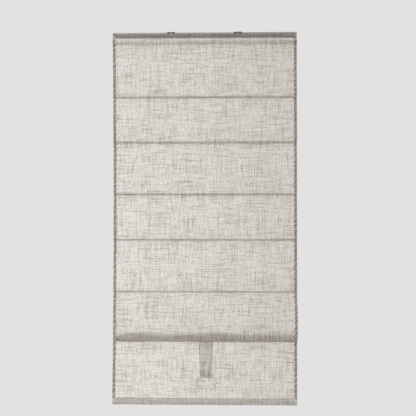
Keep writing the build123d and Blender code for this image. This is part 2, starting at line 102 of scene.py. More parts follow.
class ShadeClothSizes(bpy.types.PropertyGroup):
    """Sizes of the sewn cloth."""

    width: FloatProperty(
        name="Width", description="Cloth's width, hem to hem", default=CLOTH_HIGH.x - CLOTH_LOW.x,
        unit="LENGTH")
    layer: FloatProperty(
        name="Layer", description="Distance between layers of folded cloth", default=0.0008, unit="LENGTH")
    side_hem: FloatProperty(
        name="Side hem", description="Width of the double hem on each side", default=0.012, unit="LENGTH")
    belly: FloatProperty(
        name="Belly", description="How far a panel swells in front of its seams", default=0.007,
        unit="LENGTH")
    puff: FloatProperty(
        name="Puff", description="Depth of the roll under the headrail", default=0.011, unit="LENGTH")
    puff_tail: FloatProperty(
        name="Puff tail", description="Height over which that roll flattens", default=0.022, unit="LENGTH")
    fold_belly: FloatProperty(
        name="Fold belly", description="Swell of the loose fold", default=0.034, unit="LENGTH")
    fold_height: FloatProperty(
        name="Fold height", description="Height of the fold's widest place in its panel", default=0.16,
        subtype="FACTOR")
    fold_drop: FloatProperty(
        name="Fold drop", description="How far the fold hangs below the last rib", default=0.017,
        unit="LENGTH")
    fold_roll: FloatProperty(
        name="Fold roll", description="Radius of the fold's lower edge", default=0.010, unit="LENGTH")
    fold_return: FloatProperty(
        name="Fold return", description="From the fold's back to the last panel", default=0.0035,
        unit="LENGTH")
    fold_tuck: FloatProperty(
        name="Fold tuck", description="Height of the sewn tuck behind the fold", default=0.028, unit="LENGTH")
    tuck_reach: FloatProperty(
        name="Tuck reach", description="Length over which that tuck runs out at each side", default=0.070,
        unit="LENGTH")
    pinch_reach: FloatProperty(
        name="Pinch reach", description="Length of the fold's flattened left end", default=0.080,
        unit="LENGTH")
    hem_lip: FloatProperty(
        name="Hem lip", description="How far the cloth swells above the hem's stitches", default=0.003,
        unit="LENGTH")
    seam_wave: FloatProperty(
        name="Seam wave", description="How far a seam wanders up and down", default=0.0013, unit="LENGTH")
    ripple: FloatProperty(
        name="Ripple", description="Unevenness of the hanging cloth", default=0.0013, unit="LENGTH")
    waist: FloatProperty(
        name="Waist", description="How far the left edge draws in at half height", default=0.0055,
        unit="LENGTH")
    across_step: FloatProperty(
        name="Across step", description="Mesh spacing across the cloth", default=0.006, unit="LENGTH")
    down_step: FloatProperty(
        name="Down step", description="Mesh spacing down the flat runs", default=0.006, unit="LENGTH")
    roll_step: FloatProperty(
        name="Roll step", description="Mesh spacing on tight rolls", default=0.0018, unit="LENGTH")
    gathered: FloatProperty(
        name="Gathered", description="Share of the drop that the raised cloth takes up", default=0.10,
        subtype="FACTOR")


class ShadeFinishes(bpy.types.PropertyGroup):
    """Colours of the cloth and hardware."""

    linen: FloatVectorProperty(
        name="Linen", description="Ground of the cloth", default=(0.80, 0.762, 0.725, 1.0), subtype="COLOR",
        size=4)
    slub: FloatVectorProperty(
        name="Slub", description="Thick threads of the cloth", default=(0.34, 0.30, 0.255, 1.0),
        subtype="COLOR", size=4)
    thread: FloatVectorProperty(
        name="Thread", description="Sewing thread", default=(0.60, 0.57, 0.52, 1.0), subtype="COLOR", size=4)
    see_through: FloatProperty(
        name="See-through", description="Share of light that passes into the cloth", default=0.60,
        subtype="FACTOR")
    rail_white: FloatVectorProperty(
        name="Rail white", description="Paint on the headrail", default=(0.63, 0.63, 0.615, 1.0),
        subtype="COLOR", size=4)
    plastic_white: FloatVectorProperty(
        name="Plastic white", description="Caps, guides and motor housing", default=(0.64, 0.64, 0.615, 1.0),
        subtype="COLOR", size=4)
    bracket_dark: FloatVectorProperty(
        name="Bracket dark", description="Paint on the brackets", default=(0.018, 0.018, 0.020, 1.0),
        subtype="COLOR", size=4)


class ShadeStageView(bpy.types.PropertyGroup):
    """Camera, light and floor."""

    distance: FloatProperty(
        name="Distance", description="Camera to the middle of the view", default=3.2, unit="LENGTH")
    azimuth: FloatProperty(
        name="Azimuth", description="Camera's turn round the shade", default=math.radians(1.534),
        subtype="ANGLE")
    elevation: FloatProperty(
        name="Elevation", description="Camera's height angle", default=math.radians(-0.668), subtype="ANGLE")
    target: FloatVectorProperty(
        name="Target", description="Middle of the view", default=(0.0153, -0.0278, -0.7533), subtype="XYZ",
        unit="LENGTH")
    lens: FloatProperty(
        name="Lens", description="Focal length in millimetres", default=64.891, unit="CAMERA")
    floor_drop: FloatProperty(
        name="Floor", description="Floor's level", default=-2.0, unit="LENGTH")
    background: FloatVectorProperty(
        name="Background", description="Pale colour behind the shade", default=(0.76, 0.76, 0.75, 1.0),
        subtype="COLOR", size=4)


# Nodes and materials


def add_node(tree, kind, inputs=None, **settings):
    """Add a node, set its fields, and set or link its inputs."""
    node = tree.nodes.new(kind)
    for field, value in settings.items():
        setattr(node, field, value)
    for name, value in (inputs or {}).items():
        if isinstance(value, bpy.types.NodeSocket):
            tree.links.new(value, node.inputs[name])
        else:
            node.inputs[name].default_value = value
    return node


def add_math(tree, operation, first, second=0.0):
    """Math node of two values or sockets."""
    return add_node(tree, "ShaderNodeMath", {0: first, 1: second}, operation=operation).outputs[0]


def plus(tree, first, second):
    """Sum of two values or sockets."""
    return add_math(tree, "ADD", first, second)


def times(tree, first, second):
    """Product of two values or sockets."""
    return add_math(tree, "MULTIPLY", first, second)


def add_noise(tree, place, scale, detail, roughness=0.5):
    """Noise from 0 to 1 at a place."""
    inputs = {"Vector": place, "Scale": scale, "Detail": detail, "Roughness": roughness}
    return add_node(tree, "ShaderNodeTexNoise", inputs).outputs["Fac"]


def add_range(tree, value, before=(0.0, 1.0), after=(0.0, 1.0), ease="LINEAR"):
    """Value moved from one range into another."""
    inputs = {"Value": value, "From Min": before[0], "From Max": before[1],
              "To Min": after[0], "To Max": after[1]}
    return add_node(tree, "ShaderNodeMapRange", inputs, interpolation_type=ease).outputs[0]


def stretch_place(tree, place, counts):
    """Place multiplied along each axis."""
    return add_node(tree, "ShaderNodeVectorMath", {0: place, 1: counts}, operation="MULTIPLY").outputs[0]


def add_bump(tree, surface, height, strength, distance):
    """Roughen a shader's surface, and give its new normal."""
    inputs = {"Height": height, "Strength": strength, "Distance": distance}
    normal = add_node(tree, "ShaderNodeBump", inputs).outputs["Normal"]
    tree.links.new(normal, surface.inputs["Normal"])
    return normal


def mix_in(tree, share, surface, other):
    """Show a share of another shader in place of the surface's own."""
    mixed = add_node(tree, "ShaderNodeMixShader", {0: share, 1: surface.outputs[0], 2: other}).outputs[0]
    tree.links.new(mixed, tree.nodes["Material Output"].inputs["Surface"])


def add_mix(tree, factor, first, second):
    """Colour between first and second."""
    node = tree.nodes.new("ShaderNodeMix")
    node.data_type = "RGBA"
    for socket, value in ((node.inputs[0], factor), (node.inputs[6], first), (node.inputs[7], second)):
        if isinstance(value, bpy.types.NodeSocket):
            tree.links.new(value, socket)
        else:
            socket.default_value = value
    return node.outputs[2]


def new_finish(name):
    """Material with a Principled shader; gives the material, its tree and the shader."""
    material = bpy.data.materials.new(name)
    material.use_nodes = True
    tree = material.node_tree
    return material, tree, tree.nodes["Principled BSDF"]


def slub_sum(tree, place, slubs):
    """Sets of thick threads added up; each is noise stretched along a thread, from 0 on the ground to 1."""
    total = 0.0
    for (across, down), start in slubs:
        noise = add_noise(tree, stretch_place(tree, place, (across, down, 0.0)), 1.0, 2.0, roughness=0.6)
        total = plus(tree, total, add_range(tree, noise, before=(start, SLUB_FULL), ease="SMOOTHSTEP"))
    return total


def stitch_rows(tree, parts, rows):
    """Rows of machine stitches on the flat cloth: 1 on the thread, 0 beside it.

    A row is the axis that it lies across and its place on that axis.
    """
    sewn = 0.0
    for axis, spot in rows:
        run = parts["Y" if axis == "X" else "X"]
        off = add_math(tree, "ABSOLUTE", add_math(tree, "SUBTRACT", parts[axis], float(spot)))
        on_line = add_math(tree, "LESS_THAN", off, STITCH_HALF_WIDTH)
        wave = add_math(tree, "SINE", times(tree, run, 2 * math.pi / STITCH_PITCH))
        stitch = times(tree, on_line, add_math(tree, "GREATER_THAN", wave, STITCH_GAP))
        sewn = add_math(tree, "MAXIMUM", sewn, stitch)
    return sewn


def linen_finish(name, ground, slub, see_through, layer_shade=0.0, rows=(), thread=None):
    """Slub linen: crossing thick threads on a plain weave that lets light through.

    The slanting marks where the threads of stacked layers cross are painted shade: darker colour for the
    light those threads hold back. Rows are sewn in thread.
    """
    material, tree, surface = new_finish(name)
    place = add_node(tree, "ShaderNodeUVMap", uv_map=WEAVE_MAP).outputs["UV"]
    parts = add_node(tree, "ShaderNodeSeparateXYZ", {0: place}).outputs
    cloud = add_noise(tree, place, 14.0, 3.0, roughness=0.6)
    thick = times(tree, slub_sum(tree, place, LONG_SLUBS), LONG_SLUB_TONE)
    thick = plus(tree, thick, times(tree, slub_sum(tree, place, SHORT_SLUBS), SHORT_SLUB_TONE))
    thick = plus(tree, thick, times(tree, cloud, CLOUD_TONE))
    # Painted shade: slanting darker marks on the stacked layers of the side hems
    if layer_shade:
        slant = times(tree, plus(tree, parts["X"], parts["Y"]), HATCH_TURN)
        ragged = plus(tree, slant, times(tree, cloud, HATCH_RAGGED))
        marks = add_range(tree, add_math(tree, "SINE", ragged), before=HATCH_RANGE, after=(0.0, layer_shade))
        thick = plus(tree, thick, marks)
    colour = add_mix(tree, thick, tuple(ground), tuple(slub))
    # Plain weave: two sets of threads under a millimetre apart
    threads = [add_math(tree, "SINE", times(tree, parts[axis], WEAVE_TURN)) for axis in ("X", "Y")]
    height = plus(tree, times(tree, times(tree, *threads), 0.25), thick)
    if rows:
        sewn = stitch_rows(tree, parts, rows)
        colour = add_mix(tree, sewn, colour, tuple(thread))
        height = plus(tree, height, sewn)
    normal = add_bump(tree, surface, height, 0.35, 0.0006)
    surface.inputs["Roughness"].default_value = 0.92
    surface.inputs["Specular IOR Level"].default_value = 0.15
    tree.links.new(colour, surface.inputs["Base Color"])
    glow = add_node(tree, "ShaderNodeBsdfTranslucent", {"Color": colour, "Normal": normal}).outputs[0]
    mix_in(tree, see_through, surface, glow)
    return material


def solid_finish(name, colour, roughness, grain=400.0, stretch=(1.0, 1.0, 1.0), vary=0.08, depth=0.00005,
                 metallic=0.0, see_through=0.0):
    """Finish whose tone, gloss and surface vary with a stretched grain; see_through lets light into it."""
    material, tree, surface = new_finish(name)
    place = stretch_place(tree, add_node(tree, "ShaderNodeTexCoord").outputs["Object"], stretch)
    fine = add_noise(tree, place, grain, 4.0, roughness=0.6)
    broad = add_noise(tree, place, grain / 20, 2.0)
    tone = plus(tree, times(tree, fine, 0.5), times(tree, broad, 0.5))
    darker = [part * (1 - vary) for part in colour[:3]] + [1.0]
    lighter = [min(1.0, part * (1 + vary)) for part in colour[:3]] + [1.0]
    shade = add_mix(tree, tone, darker, lighter)
    tree.links.new(shade, surface.inputs["Base Color"])
    gloss = add_range(tree, tone, after=(roughness * 0.8, min(1.0, roughness * 1.2)))
    tree.links.new(gloss, surface.inputs["Roughness"])
    normal = add_bump(tree, surface, fine, 0.4, depth)
    surface.inputs["Metallic"].default_value = metallic
    if see_through:
        glow = add_node(tree, "ShaderNodeBsdfTranslucent", {"Color": shade, "Normal": normal}).outputs[0]
        mix_in(tree, see_through, surface, glow)
    return material


def braid_finish(name, colour):
    """Braided cord: two crossing sets of slanting yarns, with painted shade in the grooves between them."""
    along_turn, across_turn, groove_shade = 2400.0, 2800.0, 0.72
    material, tree, surface = new_finish(name)
    place = add_node(tree, "ShaderNodeTexCoord").outputs["Object"]
    parts = add_node(tree, "ShaderNodeSeparateXYZ", {0: place}).outputs
    along = times(tree, parts["Z"], along_turn)
    across = times(tree, plus(tree, parts["X"], parts["Y"]), across_turn)
    rising = add_math(tree, "SINE", plus(tree, along, across))
    falling = add_math(tree, "SINE", add_math(tree, "SUBTRACT", along, across))
    tone = add_range(tree, add_math(tree, "MAXIMUM", rising, falling), before=(-1.0, 1.0))
    # Painted shade: the grooves between the yarns take a darker colour than the yarns
    darker = [part * groove_shade for part in colour[:3]] + [1.0]
    tree.links.new(add_mix(tree, tone, darker, tuple(colour)), surface.inputs["Base Color"])
    add_bump(tree, surface, tone, 0.6, 0.0002)
    surface.inputs["Roughness"].default_value = 0.8
    return material


def clear_finish(name):
    """Clear moulded plastic with faint flow marks."""
    material, tree, surface = new_finish(name)
    place = add_node(tree, "ShaderNodeTexCoord").outputs["Object"]
    flow = add_noise(tree, place, 90.0, 3.0)
    tree.links.new(add_range(tree, flow, after=(0.05, 0.16)), surface.inputs["Roughness"])
    add_bump(tree, surface, flow, 0.2, 0.0004)
    surface.inputs["Base Color"].default_value = (0.74, 0.76, 0.76, 1.0)
    surface.inputs["IOR"].default_value = 1.47
    through = add_node(tree, "ShaderNodeBsdfTransparent", {"Color": (0.93, 0.95, 0.95, 1.0)}).outputs[0]
    mix_in(tree, 0.2, surface, through)
    return material


def paint(node, material, edge=0.0):
    """Give a solid its finish, and round its edges by a small amount."""
    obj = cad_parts[node]
    obj.data.materials.clear()
    obj.data.materials.append(material)
    if edge:
        bevel = obj.modifiers.new("edge", "BEVEL")
        bevel.width = edge
        bevel.segments = 2
        bevel.limit_method = "ANGLE"


# Shapes


def wander(place, seed):
    """Smooth repeatable wandering between about -1 and 1; place counts in waves."""
    turn = 2 * math.pi * place
    waves = ((1.0, 1.0, 1.7), (0.6, 2.3, 4.1), (0.4, 3.9, 2.9))
    return sum(size * np.sin(rate * turn + seed * shift) for size, rate, shift in waves) / 2


def arc_points(start, end, heading, step):
    """Points after start on the arc that leaves it along heading and ends at end."""
    start, end, heading = (np.array(part, float) for part in (start, end, heading))
    heading /= np.linalg.norm(heading)
    normal = np.array((-heading[1], heading[0]))
    chord = end - start
    radius = chord @ chord / (2 * chord @ normal)
    sweep = 2 * math.atan2(chord @ normal, chord @ heading)
    count = max(2, math.ceil(abs(radius * sweep) / step))
    turns = np.linspace(0, sweep, count + 1)[1:]
    return start + radius * (np.outer(np.sin(turns), heading) + np.outer(1 - np.cos(turns), normal))


def arc_into(start, end, heading, step):
    """Points after start on the arc that ends at end, where the way back leaves along heading."""
    back = arc_points(end, start, heading, step)
    return np.vstack((back[-2::-1], [end]))


def line_points(start, end, step):
    """Points after start on a straight run."""
    count = max(1, math.ceil(math.dist(start, end) / step))
    shares = np.linspace(0, 1, count + 1)[1:, None]
    return np.array(start) + shares * (np.array(end) - np.array(start))


def run_lengths(points):
    """Distance along a run of points to each of them."""
    return np.concatenate(([0.0], np.cumsum(np.linalg.norm(np.diff(points, axis=0), axis=1))))


def cloth_section(sizes):
    """Rows of the hanging cloth: (y, z) points from the rail to the bottom hem, and each row's panel."""
    flat, fine, front = sizes.down_step, sizes.roll_step, CLOTH_FRONT
    up, down = (0, 1), (0, -1)
    runs = [(0, np.array([(front, RAIL_BOTTOM)]))]
    puff_out = (front - sizes.puff, RAIL_BOTTOM - sizes.puff)
    rest = sizes.puff / 8  # depth that stays below the roll
    middle = (front - (sizes.puff + rest) / 2, puff_out[1] - sizes.puff_tail / 2)
    tail = (front - rest, puff_out[1] - sizes.puff_tail)
    runs.append((0, arc_into((front, RAIL_BOTTOM), puff_out, up, fine)))
    runs.append((0, arc_points(puff_out, middle, down, fine)))
    runs.append((0, arc_into(middle, tail, up, fine)))
    lip = (front - sizes.belly, ROD_LEVELS[0] + sizes.belly)
    swell = arc_points(tail, lip, down, flat)
    runs.append((0, swell))
    runs.append((0, arc_points(lip, (front, ROD_LEVELS[0]), swell[-1] - swell[-2], fine)))
    for panel in range(1, FOLD):
        upper, lower = ROD_LEVELS[panel - 1], ROD_LEVELS[panel]
        lip = (front - sizes.belly, lower + sizes.belly)
        runs.append((panel, arc_into((front, upper), lip, up, flat)))
        runs.append((panel, arc_points(lip, (front, lower), down, fine)))
    # Loose fold, its rolled edge, the tuck behind it and the last panel
    upper, last = ROD_LEVELS[-2], ROD_LEVELS[-1]
    wide = (front - sizes.fold_belly, last + sizes.fold_height * (upper - last))
    rise_y = front - sizes.fold_return
    roll = np.array((rise_y - sizes.fold_roll, last - sizes.fold_drop + sizes.fold_roll))
    across, rise = wide[0] - roll[0], wide[1] - roll[1]
    turn = (sizes.fold_roll**2 - across**2 - rise**2) / (2 * (across + sizes.fold_roll))
    centre = np.array((wide[0] + turn, wide[1]))
    roll_start = centre + (roll - centre) * turn / (turn - sizes.fold_roll)
    fall = arc_points(wide, roll_start, down, flat)
    runs.append((FOLD, arc_into((front, upper), wide, up, flat)))
    runs.append((FOLD, fall))
    runs.append((FOLD, arc_points(roll_start, (rise_y, roll[1]), fall[-1] - fall[-2], fine)))
    turn_in = (front - sizes.layer, last + sizes.fold_tuck)
    turn_down = (front, last + sizes.fold_tuck)
    runs.append((FOLD, arc_points((rise_y, roll[1]), turn_in, up, fine)))
    runs.append((RIB_COUNT, arc_points(turn_in, turn_down, up, sizes.layer / 2)))
    lip = (front - sizes.hem_lip, HEM_HIGH.z + sizes.hem_lip)
    runs.append((RIB_COUNT, line_points(turn_down, lip, flat)))
    runs.append((RIB_COUNT, arc_points(lip, (front, HEM_HIGH.z), down, fine / 2)))
    points = np.vstack([run for _, run in runs])
    panels = np.concatenate([np.full(len(run), panel) for panel, run in runs])
    return points, panels


def hem_columns(sizes):
    """Columns across the cloth: place, layers behind the front, and place on the flat cloth."""
    half, hem, layer, hem_points = sizes.width / 2, sizes.side_hem, sizes.layer, 5
    inner = np.linspace(-half + layer, -half + hem - layer / 2, hem_points)
    left = [(x, 1.0) for x in inner]
    left.append((-half + hem, 1.5))
    left += [(x, 2.0) for x in inner[::-1]]
    left.append((-half, 1.0))
    left += [(x, 0.0) for x in np.linspace(-half + layer / 2, -half + hem, hem_points)]
    count = round((sizes.width - 2 * hem) / sizes.across_step)
    middle = [(x, 0.0) for x in np.linspace(-half + hem, half - hem, count + 1)[1:-1]]
    right = [(-x, layers) for x, layers in left[::-1]]
    columns = np.array(left + middle + right)
    steps = np.hypot(np.diff(columns[:, 0]), np.diff(columns[:, 1]) * layer)
    flat = np.concatenate(([0.0], np.cumsum(steps)))
    return columns[:, 0], columns[:, 1], flat


def add_object(name, data):
    """New object in the scene."""
    piece = bpy.data.objects.new(name, data)
    bpy.context.scene.collection.objects.link(piece)
    return piece


def sheet_mesh(name, grid, across, along, materials, hems=None, creases=()):
    """Mesh object from a grid of points (rows, columns, 3), with the flat cloth as its map.

    Columns marked in hems take the second material, and the cloth bends sharply along the rows in creases.
    """
    rows, columns = grid.shape[:2]
    numbers = np.arange(rows * columns).reshape(rows, columns)
    faces = np.stack((numbers[:-1, :-1], numbers[1:, :-1], numbers[1:, 1:], numbers[:-1, 1:]), axis=-1)
    mesh = bpy.data.meshes.new(name)
    mesh.from_pydata(grid.reshape(-1, 3).tolist(), [], faces.reshape(-1, 4).tolist())
    flat = np.stack(np.broadcast_arrays(across[None, :], along[:, None]), axis=-1).reshape(-1, 2)
    corners = np.empty(len(mesh.loops), dtype=np.int32)
    mesh.loops.foreach_get("vertex_index", corners)
    layer = mesh.uv_layers.new(name=WEAVE_MAP)
    layer.data.foreach_set("uv", flat[corners].astype(np.float32).ravel())
    mesh.polygons.foreach_set("use_smooth", np.ones(len(mesh.polygons), dtype=bool))
    for material in materials:
        mesh.materials.append(material)
    if hems is not None:
        mesh.polygons.foreach_set("material_index", np.tile(hems.astype(np.int32), rows - 1))
    mesh.update(calc_edges=True)
    ends = np.empty(2 * len(mesh.edges), dtype=np.int32)
    mesh.edges.foreach_get("vertices", ends)
    first, second = ends[::2] // columns, ends[1::2] // columns
    sharp = (first == second) & np.isin(first, creases)
    mesh.edges.foreach_set("use_edge_sharp", sharp)
    return add_object(name, mesh)


def row_normals(points):
    """Unit direction to the back of the cloth at each row."""
    steps = np.diff(points, axis=0)
    backs = np.stack((-steps[:, 1], steps[:, 0]), axis=-1)
    backs /= np.linalg.norm(backs, axis=1)[:, None]
    normals = np.vstack((backs[:1], backs[:-1] + backs[1:], backs[-1:]))
    return normals / np.linalg.norm(normals, axis=1)[:, None]


def seam_shift(sizes, across, level):
    """How far the cloth at a level is moved up by the wandering of the seams near it."""
    waves, seed = 2.1, 1.9
    knots = [HEM_HIGH.z] + ROD_LEVELS[::-1] + [RAIL_BOTTOM]
    shift = np.zeros(np.broadcast(across, level).shape)
    for number in range(1, len(knots) - 1):
        weight = np.interp(level, knots[number - 1:number + 2], (0.0, 1.0, 0.0))
        shift = shift + sizes.seam_wave * wander(across * waves, number * seed) * weight
    return shift


def smooth(share):
    """Share from 0 to 1, eased at both ends."""
    share = np.clip(share, 0, 1)
    return share * share * (3 - 2 * share)


def tuck_shortfall(sizes, points, panels, across):
    """How far the tuck behind the fold stays below its full height, row by row."""
    end_share, mean_share, wave_share, waves = 0.12, 0.70, 0.28, 2.6
    fold_rows = np.flatnonzero(panels == FOLD)
    lowest = fold_rows[np.argmin(points[fold_rows, 1])]
    behind = (np.arange(len(points)) > lowest)[:, None]
    rise = behind * np.clip(points[:, 1:] - ROD_LEVELS[-1], 0, None)
    ends = smooth((sizes.width / 2 - np.abs(across)) / sizes.tuck_reach)
    ends = end_share + (1 - end_share) * ends
    return rise * (1 - ends * (mean_share + wave_share * wander(across * waves, 4.4)))


def cloth_grid(sizes, points, panels, along, place, layers):
    """Points of the hanging cloth, row by row, with its unevenness."""
    uneven, pinch_floor = 0.10, 0.15
    half = sizes.width / 2
    x = np.broadcast_to(place[None, :], (len(points), len(place)))
    y, z = points[:, :1], points[:, 1:]
    panel = panels[:, None]
    swell = 1 + uneven * wander(x * 1.6, panel * 2.3 + 0.7)
    pinch = pinch_floor + (1 - pinch_floor) * smooth((x + half) / sizes.pinch_reach)
    swell = np.where(panel == FOLD, swell * pinch, swell)
    runs = [along[panels == number] for number in range(RIB_COUNT + 1)]
    starts, ends = (np.array([run[end] for run in runs]) for end in (0, -1))
    share = (along - starts[panels]) / (ends - starts)[panels]
    loose = np.sin(np.pi * np.clip(share, 0, 1))[:, None]
    run = along[:, None]
    ripple = wander(x * 5.3 + 0.8 * run, 3.1) + wander(x * 2.2 - 2.4 * run, 8.4)
    front = CLOTH_FRONT + (y - CLOTH_FRONT) * swell - sizes.ripple * ripple * loose / 2
    level = z + seam_shift(sizes, x, z) - tuck_shortfall(sizes, points, panels, x)
    height = (z - HEM_LOW.z) / (RAIL_BOTTOM - HEM_LOW.z)
    drawn = sizes.waist * np.sin(np.pi * height) * (half - x) / sizes.width
    backs = row_normals(points)
    depth = layers[None, :] * sizes.layer
    return np.stack((x + drawn, front + depth * backs[:, :1], level + depth * backs[:, 1:]), axis=-1)


def hem_stitches(sizes, layers, flat):
    """Rows that sew both side hems, seen on their front and on their back."""
    front, back = (flat[np.flatnonzero(layers == number)[0]] for number in (0.0, 2.0))
    spots = (front + sizes.side_hem - STITCH_INSET - sizes.layer / 2, back + STITCH_INSET - sizes.layer / 2)
    return [("X", side) for spot in spots for side in (spot, flat[-1] - spot)]


class SHADE_OT_hang_cloth(bpy.types.Operator):
    """Hang the linen from the headrail, swelling above its seams and folding loosely over the last rib"""

    bl_idname = "shade.hang_cloth"
    bl_label = "Hang Cloth"

    def execute(self, context):
        sizes, finish = context.scene.shade_cloth, context.scene.shade_finish
        hem_share, hem_layer_shade, band_rows = 0.5, 0.6, 6
        points, panels = cloth_section(sizes)
        along = run_lengths(points)
        place, layers, flat = hem_columns(sizes)
        grid = cloth_grid(sizes, points, panels, along, place, layers)
        inner = sizes.width / 2 - sizes.side_hem
        hems = np.minimum(np.abs(place[1:]), np.abs(place[:-1])) > inner - sizes.layer / 10
        seams = np.flatnonzero(np.diff(panels))
        seam_rows = [("Y", along[seam]) for seam in seams]
        hem_rows = seam_rows + hem_stitches(sizes, layers, flat)
        linens = (linen_finish("linen", finish.linen, finish.slub, finish.see_through,
                               rows=seam_rows, thread=finish.thread),
                  linen_finish("side_hem_linen", finish.linen, finish.slub, finish.see_through * hem_share,
                               layer_shade=hem_layer_shade, rows=hem_rows, thread=finish.thread))
        cloth = sheet_mesh("shade_cloth", grid, flat, along, linens, hems, seams)
        levels = np.linspace(CLOTH_HIGH.z, RAIL_BOTTOM, band_rows)
        x, z = np.meshgrid(place, levels)
        band_grid = np.stack((x, CLOTH_FRONT + layers[None, :] * sizes.layer + 0 * z, z), axis=-1)
        band = sheet_mesh("shade_cloth_top", band_grid, flat, levels - RAIL_BOTTOM, linens, hems)
        for piece in (cloth, band):
            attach(piece, "headrail")
            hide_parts("shade_fabric")
        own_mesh(cloth)
        return {"FINISHED"}


class SHADE_OT_sew_rib_sleeves(bpy.types.Operator):
    """Sew a sleeve round every rib's rod and onto the back of the cloth"""

    bl_idname = "shade.sew_rib_sleeves"
    bl_label = "Sew Rib Sleeves"

    def execute(self, context):
        sizes, finish = context.scene.shade_cloth, context.scene.shade_finish
        linen = linen_finish("sleeve_linen", (0.85, 0.84, 0.82, 1.0), finish.slub, 0.8)
        rod = solid_finish("rod_glass_fibre", (0.66, 0.66, 0.58), 0.45, grain=300.0, stretch=(0.05, 1.0, 1.0),
                           see_through=0.8)
        eyelet = solid_finish("eyelet_plastic", finish.plastic_white, 0.4)
        pucker_depth, pucker_waves, columns = 0.00012, 55, 126
        back = CLOTH_FRONT + sizes.layer
        for rib, level in zip(RIBS, ROD_LEVELS):
            low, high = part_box(f"rib_sleeve_{rib}")
            section = self.sleeve_section((high.z - low.z) / 2, back)
            along = run_lengths(section)
            across = np.linspace(low.x, high.x, columns)
            x = np.broadcast_to(across[None, :], (len(section), columns))
            reach = (ROD_Y - section[:, :1]) / (ROD_Y - back)
            pucker = pucker_depth * wander(x * pucker_waves, rib) * np.clip(1 - reach, 0, 1)
            shift = seam_shift(sizes, x, np.full(x.shape, level)) * np.clip(reach, 0, 1)
            grid = np.stack((x, section[:, :1] + pucker, level + section[:, 1:] + pucker + shift), axis=-1)
            sleeve = sheet_mesh(f"rib_sleeve_sewn_{rib}", grid, across, along, [linen])
            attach(sleeve, f"rib_{rib}")
            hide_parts(f"rib_sleeve_{rib}")
            paint(f"rib_rod_{rib}", rod)
            paint(f"rib_eyelets_{rib}", eyelet, EDGE)
        return {"FINISHED"}

    def sleeve_section(self, outer, back):
        """Points (y, z) of a sleeve: under its neck, round the rod and back over the neck."""
        slack, neck_angle, turn_count, neck_count = 0.0002, 8, 22, 4
        radius = outer - slack
        turns = np.radians(np.linspace(180 + neck_angle, 540 - neck_angle, turn_count))
        ring = np.stack((ROD_Y + radius * np.cos(turns), radius * np.sin(turns)), axis=-1)
        neck = np.linspace(back, ring[0, 0], neck_count)[:-1]
        under = np.stack((neck, np.full(len(neck), ring[0, 1])), axis=-1)
        over = np.stack((neck[::-1], np.full(len(neck), ring[-1, 1])), axis=-1)
        return np.vstack((under, ring, over))


class SHADE_OT_sew_bottom_hem(bpy.types.Operator):
    """Fold the cloth's end round the weight bar and finish the bar, its caps and the cord anchors"""

    bl_idname = "shade.sew_bottom_hem"
    bl_label = "Sew Bottom Hem"

    def execute(self, context):
        sizes, finish = context.scene.shade_cloth, context.scene.shade_finish
        top, bottom = HEM_HIGH.z, HEM_LOW.z
        slack, sag, back_seam_drop, columns = 0.0005, 0.0004, 0.012, 160
        points, groove_run = self.hem_section(sizes.layer)
        along = run_lengths(points)
        across = np.linspace(HEM_LOW.x, HEM_HIGH.x, columns)
        x = np.broadcast_to(across[None, :], (len(points), len(across)))
        share = np.clip((top - points[:, 1:]) / (top - bottom), 0, 1)
        y = points[:, :1] - slack * np.sin(np.pi * share) * (1 + wander(x * 4.0, 5.2))
        z = points[:, 1:] + sag * wander(x * 6.0, 1.1) * share
        back_run = along[np.argmax(points[:, 0])] + top - bottom - back_seam_drop
        linen = linen_finish("hem_linen", finish.linen, finish.slub, finish.see_through / 4,
                             rows=[("Y", groove_run), ("Y", back_run)], thread=finish.thread)
        hem = sheet_mesh("bottom_hem_sewn", np.stack((x, y, z), axis=-1), across, along, [linen])
        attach(hem, "bottom_rail")
        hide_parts("bottom_hem")
        paint("bottom_bar", solid_finish("bar_aluminium", (0.62, 0.62, 0.63), 0.35, grain=500.0,
                                         stretch=(0.03, 1.0, 1.0), metallic=1.0), EDGE)
        plastic = solid_finish("anchor_plastic", finish.plastic_white, 0.45)
        paint("bar_caps", plastic, EDGE)
        paint("cord_anchors", plastic, EDGE)
        return {"FINISHED"}

    def hem_section(self, layer):
        """Points (y, z) of the folded hem, and how far along them its stitched groove lies."""
        front, back, top, bottom = HEM_LOW.y, HEM_HIGH.y, HEM_HIGH.z, HEM_LOW.z
        tuck, round_off, lip = 0.004, 0.0045, 0.001
        edge, groove, swell = (front, top), (front + 0.0009, top - 0.0028), (front - 0.0026, top - 0.0125)
        low_front, low_back = (front - 0.0002, bottom + 0.0030), (back - round_off, bottom)
        rise, back_top = (back, bottom + round_off), (back, top - tuck)
        inner_top, inner_end = (front + 2 * layer, top - lip), (front + layer, top - tuck)
        fall = arc_points(swell, low_front, (0, -1), 0.0015)
        section = np.vstack((
            [edge],
            line_points(edge, groove, 0.0007),
            arc_into(groove, swell, (0, 1), 0.0012),
            fall,
            arc_points(low_front, low_back, fall[-1] - fall[-2], 0.0007),
            arc_points(low_back, rise, (1, 0), 0.001),
            line_points(rise, back_top, 0.004),
            line_points(back_top, inner_top, 0.001),
            line_points(inner_top, inner_end, 0.001),
        ))
        return section, math.dist(edge, groove)


